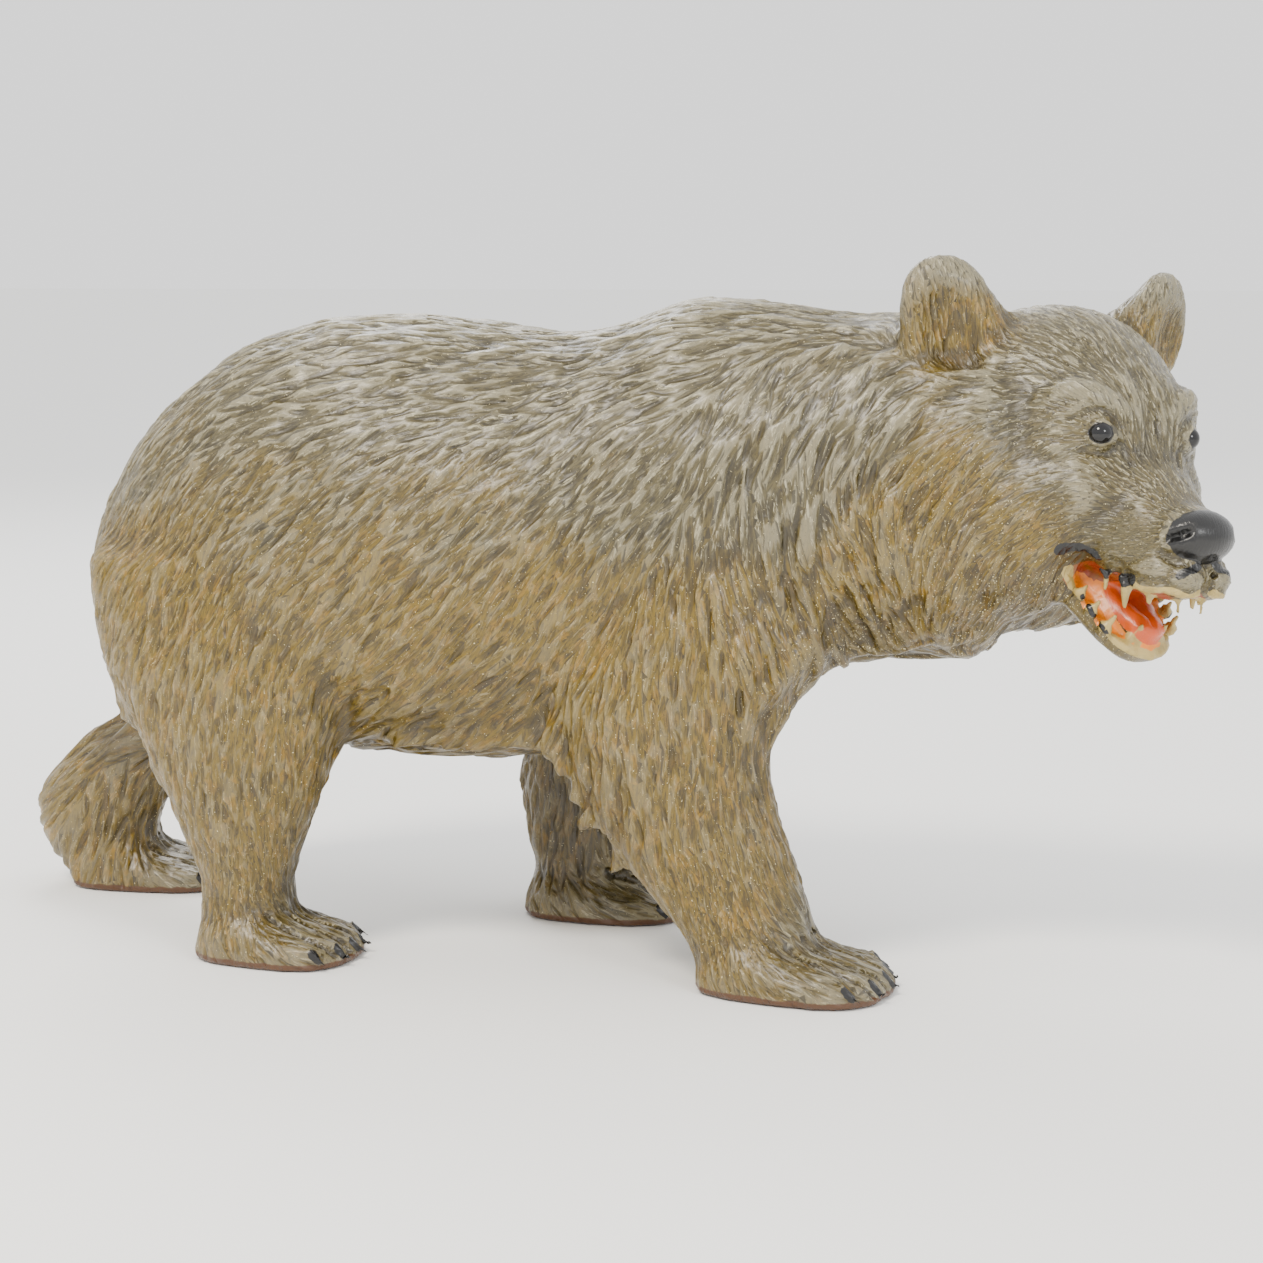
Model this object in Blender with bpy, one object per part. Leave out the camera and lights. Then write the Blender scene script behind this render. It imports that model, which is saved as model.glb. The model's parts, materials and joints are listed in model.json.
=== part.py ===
# A carved wooden bear, walking, with its head turned to its right and its mouth open.
# It is cut from one block of limewood, and its two glass eyes are set in drilled sockets.
# The bear walks towards +X, its left side is +Y, and it stands on the plane Z = 0.

import math
import random

import bmesh
import bpy
from mathutils import Matrix, Vector
from mathutils.kdtree import KDTree

# Driving dimensions, in metres
LENGTH = 0.450            # the bear's length, which its free form is shared out from
EYE_RADIUS = 0.0040       # glass eye
SOCKET_CLEARANCE = 0.0003 # all round the eye in its socket

# How finely the free form is worked
VOXEL = 0.0018            # grain of the blended form
BLEND_PASSES = 5          # rounds that soften the joins of the masses
COAT_FACES = 7700         # triangles kept in the carved body
LIMB_SIDES = 28
BALL_SEGMENTS = 20
BALL_RINGS = 12
EYE_SEGMENTS = 16
EYE_RINGS = 9

# Free form: every place and size below is in thousandths of the bear's length
SHARE = LENGTH / 1000
WORLD = Matrix.Identity(4)


def place(x, y, z):
    """A point of the free form, in metres."""
    return Vector((x, y, z)) * SHARE


def turned(degrees, axis):
    return Matrix.Rotation(math.radians(degrees), 4, axis)


def moved(x, y, z):
    return Matrix.Translation(place(x, y, z))


def new_mesh_object(name, bm):
    """Turns a bmesh into an object and frees it."""
    mesh = bpy.data.meshes.new(name)
    bmesh.ops.recalc_face_normals(bm, faces=bm.faces)
    bm.to_mesh(mesh)
    bm.free()
    obj = bpy.data.objects.new(name, mesh)
    bpy.context.scene.collection.objects.link(obj)
    return obj


def skin(bm, frame, rings):
    """Bridges closed rings of points in turn and closes both ends."""
    loops = []
    for ring in rings:
        verts = [bm.verts.new(frame @ place(*point)) for point in ring]
        loops.append([bm.edges.new((verts[i], verts[i - 1])) for i in range(len(verts))])
        if ring is rings[0] or ring is rings[-1]:
            bm.faces.new(verts)
    for first, second in zip(loops, loops[1:]):
        bmesh.ops.bridge_loops(bm, edges=first + second)


def oval(half_a, half_b, power):
    """Points round a rounded oval, squarer as power grows past 2."""
    points = []
    for i in range(LIMB_SIDES):
        turn = 2 * math.pi * i / LIMB_SIDES
        c, s = math.cos(turn), math.sin(turn)
        points.append((math.copysign(abs(c) ** (2 / power), c) * half_a,
                       math.copysign(abs(s) ** (2 / power), s) * half_b))
    return points


def eased(stations, steps):
    """Stations of a loft with a smooth curve run through them, steps to each gap."""
    out = []
    for i in range(len(stations) - 1):
        p0 = stations[max(i - 1, 0)]
        p1, p2 = stations[i], stations[i + 1]
        p3 = stations[min(i + 2, len(stations) - 1)]
        for k in range(steps):
            t = k / steps
            out.append(tuple(
                b + 0.5 * t * (c - a + t * (2 * a - 5 * b + 4 * c - d + t * (3 * (b - c) + d - a)))
                for a, b, c, d in zip(p0, p1, p2, p3)))
    out.append(tuple(stations[-1]))
    return out


def ball(bm, frame, centre, radii, turn=WORLD):
    """An ellipsoid of the free form, turned about its own centre."""
    size = Matrix.Diagonal((*(Vector(radii) * SHARE), 1))
    bmesh.ops.create_uvsphere(bm, u_segments=BALL_SEGMENTS, v_segments=BALL_RINGS,
                              radius=1, matrix=frame @ moved(*centre) @ turn @ size)


# The trunk, from rump to throat: x, belly, back, half width, and how far it bends to the side
TRUNK = [
    (-414, 276, 326, 20, 0),
    (-403, 240, 354, 52, 0),
    (-378, 210, 400, 84, 0),
    (-340, 190, 445, 112, 0),
    (-286, 170, 486, 138, 0),
    (-220, 160, 514, 154, 0),
    (-140, 152, 522, 158, 0),
    (-60, 150, 514, 152, 0),
    (0, 158, 507, 146, 0),
    (50, 168, 515, 142, 0),
    (110, 188, 536, 138, 0),
    (170, 218, 531, 130, 0),
    (235, 242, 522, 120, -2),
    (300, 251, 524, 110, -10),
    (345, 257, 518, 98, -22),
    (375, 300, 490, 70, -34),
]
TRUNK_POWER = 2.25
TAIL = ((-394, 0, 342), (11, 15, 30))


def add_trunk(bm):
    rings = []
    for x, low, high, half, bend in eased(TRUNK, 3):
        middle, tall = (low + high) / 2, (high - low) / 2
        rings.append([(x, bend + a, middle + b) for a, b in oval(half, tall, TRUNK_POWER)])
    skin(bm, WORLD, rings)
    ball(bm, WORLD, *TAIL)


# Each leg, from body to ankle: height, back edge, front edge, distance from the middle, half width
LEGS = {
    "right_hind": (-1, [
        (330, -392, -180, 78, 66), (260, -380, -146, 84, 72), (215, -360, -151, 92, 68),
        (170, -335, -167, 99, 58), (133, -316, -181, 103, 50), (96, -298, -196, 104, 43),
        (60, -284, -209, 104, 40), (30, -284, -204, 104, 44), (6, -284, -206, 104, 46)]),
    "left_hind": (1, [
        (330, -368, -200, 78, 62), (262, -384, -222, 86, 64), (215, -396, -262, 96, 60),
        (178, -414, -312, 102, 54), (150, -444, -340, 104, 49), (127, -480, -366, 106, 45),
        (104, -514, -386, 108, 42), (80, -532, -402, 108, 41),
        (52, -530, -414, 108, 42), (26, -512, -404, 108, 46), (6, -498, -400, 108, 48)]),
    "right_fore": (-1, [
        (330, -10, 225, 76, 60), (260, 2, 238, 84, 64), (222, 8, 205, 92, 62),
        (185, 18, 186, 98, 57), (144, 38, 191, 102, 52), (108, 58, 204, 104, 48),
        (74, 83, 216, 105, 46), (46, 112, 222, 106, 48), (22, 128, 236, 106, 54),
        (6, 133, 242, 106, 56)]),
    "left_fore": (1, [
        (330, -20, 205, 76, 60), (260, -30, 185, 84, 62), (215, -44, 150, 90, 60),
        (175, -58, 112, 95, 54), (136, -68, 84, 98, 50), (96, -66, 66, 100, 47),
        (60, -65, 56, 102, 46), (40, -56, 52, 102, 48), (20, -60, 60, 102, 52),
        (6, -64, 64, 102, 54)]),
}
LEG_POWER = 2.2


def add_leg(bm, side, stations):
    rings = []
    for z, back, front, out, half in eased(stations, 2):
        middle, deep = (back + front) / 2, (front - back) / 2
        rings.append([(middle + a, side * out + b, z) for a, b in oval(deep, half, LEG_POWER)])
    skin(bm, WORLD, rings)


# The paws: heel x, middle y, length, half width, how far they turn out in degrees
PAWS = {
    "right_hind": (-285, -106, 138, 56, -2),
    "left_hind": (-493, 108, 152, 56, 8),
    "right_fore": (133, -110, 158, 64, -4),
    "left_fore": (-65, 96, 152, 66, 6),
}
# Across a paw, from heel to toes: share of its length, share of its half width, height
PAW_FORM = [
    (0.00, 0.30, 16), (0.04, 0.62, 30), (0.16, 0.84, 44), (0.34, 0.95, 46), (0.52, 1.00, 37),
    (0.68, 1.02, 30), (0.82, 0.92, 24), (0.92, 0.70, 18), (0.98, 0.36, 12),
]
PAW_POWER = 2.6
PAW_BELOW = 22            # how far the paw runs on below the sole before it is trimmed
SLAB = (1400, 700, 100)   # what trims the soles, larger than the whole bear
TOES = 5
TOE_RADII = (26, 11.5, 15)
TOE_FAN = 6.5             # degrees between neighbouring toes
TOE_REACH = 0.80          # share of the paw's length that the middle toe lies at
TOE_CURVE = 0.028         # share of it that the toes beside fall back, times their step squared
TOE_SPREAD = 0.38         # share of the paw's half width between neighbouring toes
TOE_HEIGHT = 11
CLAW_LENGTH = 11
CLAW_RADIUS = 3.8
CLAW_DROP = 34            # degrees below level
CLAW_SIDES = 6
CLAW_AT = (0.86, 2)       # share of the toe's half length ahead, and how far up
HORN_SUNK = 0.6           # share of a claw's or tooth's length that is sunk in the wood
HORN_TIP = 0.3            # share of its radius that is left at its tip


def paw_frame(heel, out, turn):
    """The frame of a paw: origin at its heel on the ground, +X towards its toes."""
    return moved(heel, out, 0) @ turned(turn, "Z")


def toe_frames(length, half):
    """Each toe's own frame in the paw's frame."""
    for i in range(TOES):
        step = i - (TOES - 1) / 2
        reach = TOE_REACH - TOE_CURVE * step * step
        at = moved(length * reach, half * TOE_SPREAD * step, TOE_HEIGHT)
        yield at @ turned(TOE_FAN * step, "Z")


def add_paw(bm, heel, out, length, half, turn):
    frame = paw_frame(heel, out, turn)
    rings = []
    for along, wide, tall in eased(PAW_FORM, 2):
        middle, high = (tall - PAW_BELOW) / 2, (tall + PAW_BELOW) / 2
        rings.append([(along * length, a, middle + b)
                      for a, b in oval(wide * half, high, PAW_POWER)])
    skin(bm, frame, rings)
    for toe in toe_frames(length, half):
        ball(bm, frame @ toe, (0, 0, 0), TOE_RADII)


# The head has a frame of its own: +X out through the nose, origin between the ears' roots
HEAD_AT = (393, -7, 430)
HEAD_TURN = -45           # degrees towards the bear's right
HEAD_ROLL = -4.5          # degrees, the left side lower
EYE_AT = (101, 44, 1)     # ahead, out, up in the head's frame
EYE_SLANT = 38            # degrees outwards that each eye looks
LID_PAST_EYE = (-2.4, 7.1, 2.6)   # how far the lids' mound reaches past the glass

# Masses of the head: middle and radii, and the ones set out to both sides are made twice
HEAD_MIDDLE = [
    ((-6, 2, 2), (104, 104, 98)),
    ((48, 2, -4), (66, 84, 70)),
    ((-40, 10, -60), (95, 98, 105)),
]
HEAD_PAIRS = [
    ((8, 48, -66), (84, 60, 84)),
    ((70, 38, 22), (35, 34, 24)),
    ((62, 44, -48), (54, 34, 46)),
    ((118, 26, -80), (34, 21, 27)),
]
# The muzzle: ahead, underside, bridge, half width
MUZZLE = [
    (60, -100, 30, 58), (90, -107, 11, 51), (114, -113, -12, 45), (135, -118, -31, 41),
    (152, -122, -46, 38), (163, -123, -57, 33), (170, -117, -66, 22),
]
MUZZLE_POWER = 2.2
NOSE = ((163, 0, -66), (20, 31, 20))
# The lower jaw hangs open: a plate that runs from its root down to the chin
JAW_ROOT = (56, 0, -104)
JAW_DROP = 43             # degrees below level
JAW = [(0, 48, 18), (25, 47, 15), (50, 42, 13), (72, 34, 12), (86, 25, 10), (92, 14, 8)]
JAW_POWER = 2.6
TONGUE = ((46, 0, 13), (42, 22, 7))
# Teeth: ahead, out, length, radius, in the head's frame above and in the jaw's frame below
UPPER_TEETH = [(146, 25, 12, 5.5), (116, 33, 7.5, 4.5), (96, 37, 6.5, 4.5), (158, 8, 5.5, 4)]
LOWER_TEETH = [(78, 17, 12.5, 5), (52, 31, 7.5, 4.5), (34, 35, 6.5, 4.5), (85, 6, 5, 3.5)]
TOOTH_SIDES = 6
TOOTH_SEAT = 3            # how far into the gum a tooth's foot is set
# The ears, right and left: a thick rounded cup, its hollow facing ahead and out
EAR_AT = {-1: (-12, 104, 80), 1: (-12, 108, 84)}
EAR_RADII = (19, 42, 54)
EAR_TURN = 20             # degrees outwards about the upright
EAR_LEAN = 24             # degrees outwards from the upright
EAR_HOLLOW_AT = (20, 7, -3)   # ahead, out, up in the ear's frame
EAR_HOLLOW_RADII = (18, 28, 37)
EAR_ROOT_IN = 31          # the root that slopes from the ear down to the skull, in from the ear
EAR_ROOT_RADII = (17, 47, 22)
EAR_ROOT_SLOPE = 34       # degrees from level


def head_frame():
    return moved(*HEAD_AT) @ turned(HEAD_TURN, "Z") @ turned(HEAD_ROLL, "X")


def jaw_frame():
    return head_frame() @ moved(*JAW_ROOT) @ turned(JAW_DROP, "Y")


def ear_frame(side):
    ahead, out, up = EAR_AT[side]
    return (head_frame() @ moved(ahead, side * out, up)
            @ turned(side * EAR_TURN, "Z") @ turned(-side * EAR_LEAN, "X"))


def add_head(bm):
    frame = head_frame()
    for centre, radii in HEAD_MIDDLE + [NOSE]:
        ball(bm, frame, centre, radii)
    for (ahead, out, up), radii in HEAD_PAIRS:
        for side in (-1, 1):
            ball(bm, frame, (ahead, side * out, up), radii)
    rings = []
    for ahead, low, high, half in eased(MUZZLE, 2):
        middle, tall = (low + high) / 2, (high - low) / 2
        rings.append([(ahead, a, middle + b) for a, b in oval(half, tall, MUZZLE_POWER)])
    skin(bm, frame, rings)
    for side in (-1, 1):
        ball(bm, ear_frame(side), (0, 0, 0), EAR_RADII)
        ahead, out, up = EAR_AT[side]
        ball(bm, frame, (ahead, side * (out - EAR_ROOT_IN), up), EAR_ROOT_RADII,
             turned(side * EAR_ROOT_SLOPE, "X"))
        ahead, out, up = EYE_AT
        lids = [EYE_RADIUS / SHARE + past for past in LID_PAST_EYE]
        ball(bm, frame, (ahead, side * out, up), lids, turned(side * EYE_SLANT, "Z"))


def add_jaw(bm):
    rings = [[(along, a, b) for a, b in oval(half, thick, JAW_POWER)]
             for along, half, thick in eased(JAW, 2)]
    skin(bm, jaw_frame(), rings)
    ball(bm, jaw_frame(), *TONGUE)


# Shaggy tufts stand out along these lines: both ends, how many, which way they hang, and length
TUFT_LINES = [
    ((-120, -96, 178), (10, -96, 180), 8, (-0.9, -0.1, -0.45), 24),
    ((-150, 60, 164), (40, 60, 170), 9, (-0.9, 0.1, -0.45), 24),
    ((12, -108, 205), (72, -108, 78), 8, (-0.75, -0.1, -0.75), 26),
    ((-52, 98, 205), (-66, 102, 90), 6, (-0.7, 0.1, -0.8), 24),
    ((-378, -92, 280), (-318, -104, 135), 8, (-0.5, -0.1, -0.9), 24),
    ((-400, 98, 200), (-504, 106, 112), 6, (-0.7, 0.1, -0.7), 26),
    ((200, -60, 250), (330, -84, 284), 7, (-0.8, -0.1, -0.55), 26),
    ((214, 40, 246), (330, 10, 272), 6, (-0.8, 0.1, -0.55), 26),
]
TUFT_WIDE = 0.36          # share of a tuft's length
TUFT_THICK = 0.30
TUFT_STRAY = 0.15         # how far a tuft's way strays from its neighbours'
TUFT_SIZES = (0.75, 1.2)  # shares of the length given, from the smallest to the largest


def add_tufts(bm):
    chance = random.Random(11)
    for start, end, count, hang, size in TUFT_LINES:
        for i in range(count):
            share = (i + chance.uniform(0.2, 0.8)) / count
            at = Vector(start).lerp(Vector(end), share)
            way = Vector(hang) + Vector([chance.uniform(-TUFT_STRAY, TUFT_STRAY) for _ in range(3)])
            long = size * chance.uniform(*TUFT_SIZES)
            turn = way.to_track_quat("X", "Z").to_matrix().to_4x4()
            ball(bm, WORLD, at, (long, long * TUFT_WIDE, long * TUFT_THICK), turn)


def hollow_cutters():
    """The hollows of the ears, cut out of the fused masses."""
    bm = bmesh.new()
    ahead, out, up = EAR_HOLLOW_AT
    for side in (-1, 1):
        ball(bm, ear_frame(side), (ahead, side * out, up), EAR_HOLLOW_RADII)
    cutters = new_mesh_object("hollows", bm)
    cutters.hide_render = True
    cutters.display_type = "WIRE"
    return cutters


def evaluated_copy(obj, name):
    """A new mesh object that holds obj as its modifiers leave it, in place of obj."""
    graph = bpy.context.evaluated_depsgraph_get()
    mesh = bpy.data.meshes.new_from_object(obj.evaluated_get(graph))
    fresh = bpy.data.objects.new(name, mesh)
    bpy.context.scene.collection.objects.link(fresh)
    bpy.data.objects.remove(obj)
    fresh.name = name
    return fresh


def fused_masses(bm):
    """The overlapping masses made one, hollowed, with their joins softened."""
    masses = new_mesh_object("masses", bm)
    cutters = hollow_cutters()
    fuse = masses.modifiers.new("Fuse", "REMESH")
    fuse.mode = "VOXEL"
    fuse.voxel_size = VOXEL
    cut = masses.modifiers.new("Hollow", "BOOLEAN")
    cut.object = cutters
    cut.operation = "DIFFERENCE"
    cut.solver = "EXACT"
    settle = masses.modifiers.new("Settle", "REMESH")
    settle.mode = "VOXEL"
    settle.voxel_size = VOXEL
    soften = masses.modifiers.new("Soften", "SMOOTH")
    soften.factor = 0.5
    soften.iterations = BLEND_PASSES
    bear = evaluated_copy(masses, "bear")
    bpy.data.objects.remove(cutters)
    return bear


# How the coat lies: a place and the way its hair is combed there
COMBING = [
    ((-140, 0, 520), (-1, 0, -0.1)), ((120, 0, 536), (-1, 0, -0.05)),
    ((-380, 0, 410), (-0.6, 0, -0.8)), ((-430, 0, 300), (-0.2, 0, -1)),
    ((-200, -156, 380), (-0.7, 0, -0.7)), ((-200, 156, 380), (-0.7, 0, -0.7)),
    ((60, -142, 380), (-0.6, 0, -0.8)), ((60, 142, 380), (-0.6, 0, -0.8)),
    ((-60, -130, 210), (-0.9, 0, -0.4)), ((-60, 130, 210), (-0.9, 0, -0.4)),
    ((-280, -150, 230), (-0.25, 0, -1)), ((-300, 150, 230), (-0.25, 0, -1)),
    ((-240, -104, 90), (0.1, 0, -1)), ((-450, 108, 110), (-0.35, 0, -1)),
    ((110, -150, 200), (0, 0, -1)), ((40, 140, 200), (-0.1, 0, -1)),
    ((140, -106, 90), (0.2, 0, -1)), ((0, 100, 90), (0, 0, -1)),
    ((-180, -104, 20), (1, 0, -0.2)), ((-370, 108, 20), (1, 0.1, -0.2)),
    ((250, -106, 20), (1, 0, -0.2)), ((60, 102, 20), (1, 0.1, -0.2)),
    ((230, -120, 400), (-0.55, 0, -0.85)), ((230, 120, 400), (-0.55, 0, -0.85)),
    ((330, -110, 360), (-0.5, -0.1, -0.85)), ((280, 0, 250), (-0.95, 0, -0.3)),
    ((300, 0, 522), (-1, 0.1, 0)), ((400, 20, 528), (-0.8, 0.5, 0.2)),
    ((450, -60, 470), (-0.6, 0.6, 0.5)), ((400, -120, 380), (-0.5, 0.1, -0.85)),
]
# Where bold locks are gouged: low corner, high corner, how many, length, width, depth
LOCK_FIELDS = [
    ((190, -170, 215), (345, 170, 500), 170, 54, 13, 6.5),
    ((-440, -180, 150), (-60, 180, 530), 330, 62, 20, 4.6),
    ((-60, -180, 140), (190, 180, 545), 220, 60, 18, 4.6),
    ((-540, -180, 50), (-230, 180, 180), 60, 38, 8, 3.6),
    ((20, -180, 50), (240, 0, 180), 40, 36, 9, 3.0),
    ((-80, 0, 50), (120, 180, 180), 36, 36, 9, 3.0),
]


def combed(point, normal):
    """The way the coat lies at a point, along the surface."""
    way = Vector((0, 0, 0))
    for at, toward in COMBING:
        way += Vector(toward).normalized() / ((point - place(*at)).length_squared + SHARE ** 2)
    return (way - normal * way.dot(normal)).normalized()


def carve_locks(bear):
    """Gouges overlapping locks of hair into the dense surface, along the way the coat lies."""
    chance = random.Random(23)
    verts = bear.data.vertices
    points = [v.co.copy() for v in verts]
    normals = [v.normal.copy() for v in verts]
    tree = KDTree(len(points))
    for i, point in enumerate(points):
        tree.insert(point, i)
    tree.balance()
    cut = [0.0] * len(points)
    for low, high, count, long, wide, deep in LOCK_FIELDS:
        low, high = place(*low), place(*high)
        inside = [i for i, p in enumerate(points) if all(a < x < b for a, x, b in zip(low, p, high))]
        half_long, half_wide, depth = long * SHARE / 2, wide * SHARE / 2, deep * SHARE
        for i in chance.sample(inside, min(count, len(inside))):
            way = combed(points[i], normals[i])
            across = normals[i].cross(way)
            for co, j, _ in tree.find_range(points[i], half_long):
                away = co - points[i]
                reach = (away.dot(way) / half_long) ** 2 + (away.dot(across) / half_wide) ** 2
                if reach < 1 and normals[j].dot(normals[i]) > 0.3:
                    cut[j] = max(cut[j], depth * (1 - reach))
    for v, normal, depth in zip(verts, normals, cut):
        v.co -= normal * depth


def cone(bm, frame, length, radius, sides):
    """A pointed horn along +X of its frame, with its foot sunk behind the frame's origin."""
    at = frame @ moved(length * (1 - HORN_SUNK) / 2, 0, 0) @ turned(90, "Y")
    bmesh.ops.create_cone(bm, cap_ends=True, segments=sides, radius1=radius * SHARE,
                          radius2=radius * SHARE * HORN_TIP,
                          depth=length * SHARE * (1 + HORN_SUNK), matrix=at)


def add_claws(bm):
    ahead, up = CLAW_AT
    for heel, out, length, half, turn in PAWS.values():
        for toe in toe_frames(length, half):
            at = paw_frame(heel, out, turn) @ toe @ moved(TOE_RADII[0] * ahead, 0, up)
            cone(bm, at @ turned(CLAW_DROP, "Y"), CLAW_LENGTH, CLAW_RADIUS, CLAW_SIDES)


def station_at(stations, along):
    """A loft's station at a distance along it, between the two it is given."""
    for first, second in zip(stations, stations[1:]):
        if along <= second[0]:
            share = (along - first[0]) / (second[0] - first[0])
            return [a + share * (b - a) for a, b in zip(first, second)]
    return stations[-1]


def oval_height(out, half, tall, power):
    """How far above its middle a rounded oval reaches at a distance out."""
    return tall * (1 - (out / half) ** power) ** (1 / power)


def muzzle_underside(ahead, out):
    """Height of the muzzle's underside, in the head's frame."""
    _, low, high, half = station_at(MUZZLE, ahead)
    return (low + high) / 2 - oval_height(out, half, (high - low) / 2, MUZZLE_POWER)


def jaw_topside(along, out):
    """Height of the lower jaw's upper face, in the jaw's frame."""
    _, half, thick = station_at(JAW, along)
    return oval_height(out, half, thick, JAW_POWER)


def add_teeth(bm):
    for side in (-1, 1):
        for ahead, out, length, radius in UPPER_TEETH:
            seat = muzzle_underside(ahead, out) + TOOTH_SEAT
            at = head_frame() @ moved(ahead, side * out, seat)
            cone(bm, at @ turned(90, "Y"), length, radius, TOOTH_SIDES)
        for along, out, length, radius in LOWER_TEETH:
            seat = jaw_topside(along, out) - TOOTH_SEAT
            at = jaw_frame() @ moved(along, side * out, seat)
            cone(bm, at @ turned(-90, "Y"), length, radius, TOOTH_SIDES)


def eye_centre(side):
    ahead, out, up = EYE_AT
    return head_frame() @ place(ahead, side * out, up)


def sole_cutter():
    """A slab whose top is the ground, that trims the soles flat."""
    bm = bmesh.new()
    size = Matrix.Diagonal((*place(*SLAB), 1))
    bmesh.ops.create_cube(bm, size=1, matrix=moved(0, 0, -SLAB[2] / 2) @ size)
    return new_mesh_object("ground", bm)


def socket_cutters():
    bm = bmesh.new()
    for side in (-1, 1):
        bmesh.ops.create_uvsphere(bm, u_segments=EYE_SEGMENTS, v_segments=EYE_RINGS,
                                  radius=EYE_RADIUS + SOCKET_CLEARANCE,
                                  matrix=Matrix.Translation(eye_centre(side)))
    return new_mesh_object("sockets", bm)


def horns():
    bm = bmesh.new()
    add_claws(bm)
    add_teeth(bm)
    return new_mesh_object("horns", bm)


def combined(obj, steps):
    """obj with each other object joined to it or cut from it in turn."""
    for other, operation in steps:
        boolean = obj.modifiers.new(other.name, "BOOLEAN")
        boolean.object = other
        boolean.operation = operation
        boolean.solver = "EXACT"
    whole = evaluated_copy(obj, obj.name)
    for other, _ in steps:
        bpy.data.objects.remove(other)
    return whole


def finish(name, colour, roughness, metallic=0.0):
    material = bpy.data.materials.new(name)
    material.use_nodes = True
    shader = material.node_tree.nodes["Principled BSDF"]
    shader.inputs["Base Color"].default_value = (*colour, 1)
    shader.inputs["Roughness"].default_value = roughness
    shader.inputs["Metallic"].default_value = metallic
    return material


def build_bear():
    bm = bmesh.new()
    add_trunk(bm)
    for side, stations in LEGS.values():
        add_leg(bm, side, stations)
    for heel, out, length, half, turn in PAWS.values():
        add_paw(bm, heel, out, length, half, turn)
    add_head(bm)
    add_jaw(bm)
    add_tufts(bm)
    bear = fused_masses(bm)
    carve_locks(bear)
    facets = bear.modifiers.new("Facets", "DECIMATE")
    facets.ratio = COAT_FACES / sum(len(p.vertices) - 2 for p in bear.data.polygons)
    bear = evaluated_copy(bear, "bear")
    bear = combined(bear, [(horns(), "UNION"), (sole_cutter(), "DIFFERENCE"),
                           (socket_cutters(), "DIFFERENCE")])
    bear.data.shade_smooth()
    bear.data.materials.append(finish("stained limewood", (0.30, 0.20, 0.09), 0.45))
    return bear


def build_eyes():
    glass = finish("black glass", (0.004, 0.004, 0.005), 0.04)
    eyes = []
    for side, name in ((-1, "eye_right"), (1, "eye_left")):
        bm = bmesh.new()
        bmesh.ops.create_uvsphere(bm, u_segments=EYE_SEGMENTS, v_segments=EYE_RINGS,
                                  radius=EYE_RADIUS)
        eye = new_mesh_object(name, bm)
        eye.location = eye_centre(side)
        eye.data.shade_smooth()
        eye.data.materials.append(glass)
        eyes.append(eye)
    return eyes


def centre_on_ground(bear, others):
    """Puts the middle of the bear's footprint box at the origin."""
    xs = [v.co.x for v in bear.data.vertices]
    ys = [v.co.y for v in bear.data.vertices]
    shift = Vector((-(min(xs) + max(xs)) / 2, -(min(ys) + max(ys)) / 2, 0))
    for obj in [bear] + others:
        obj.location += shift


for old in list(bpy.data.objects):
    bpy.data.objects.remove(old)
centre_on_ground(build_bear(), build_eyes())
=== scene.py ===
# A walking bear carved in limewood with gouges, stained brown, silvered along the back and varnished.
import json
import math
import time
from functools import partial
import bmesh
import bpy
import numpy as np
from mathutils import Matrix, Vector
from mathutils.kdtree import KDTree


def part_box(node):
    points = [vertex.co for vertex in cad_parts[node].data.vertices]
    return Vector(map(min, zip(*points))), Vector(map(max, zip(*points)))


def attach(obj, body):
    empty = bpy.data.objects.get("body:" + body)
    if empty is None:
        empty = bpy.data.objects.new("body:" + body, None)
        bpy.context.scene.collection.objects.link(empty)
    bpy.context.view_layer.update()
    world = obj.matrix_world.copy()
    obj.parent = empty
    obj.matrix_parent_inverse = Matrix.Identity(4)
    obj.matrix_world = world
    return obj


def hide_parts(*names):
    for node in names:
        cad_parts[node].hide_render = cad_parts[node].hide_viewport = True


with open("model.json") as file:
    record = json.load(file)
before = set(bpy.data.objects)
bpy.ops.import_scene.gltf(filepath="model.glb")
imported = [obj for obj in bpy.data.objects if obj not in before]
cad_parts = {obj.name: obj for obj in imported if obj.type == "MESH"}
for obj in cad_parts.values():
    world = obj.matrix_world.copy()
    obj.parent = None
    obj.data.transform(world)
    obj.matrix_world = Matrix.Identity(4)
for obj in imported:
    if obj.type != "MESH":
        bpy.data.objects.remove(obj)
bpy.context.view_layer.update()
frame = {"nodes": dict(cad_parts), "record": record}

mm = 0.001
worldUp = Vector((0, 0, 1))
startTime = time.time()


def report(stage):
    print("%5.1f s  %s" % (time.time() - startTime, stage), flush=True)


# The bear's own frames, found from its eyes and soles. A share is a thousandth of its length.
landmarks = {
    "eye": (101, 44, 1),        # each eye's centre in the head's frame: ahead, out, up
    "headAt": (393, -7, 430),   # the head's origin in the body's frame
    "jawAt": (56, 0, -104),     # the jaw's root in the head's frame
    "jawDrop": 43,              # degrees that the jaw hangs below level
    "eyeSlant": 38,             # degrees outwards that each eye looks
}


def middleOf(node):
    low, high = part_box(node)
    return (low + high) / 2


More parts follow.
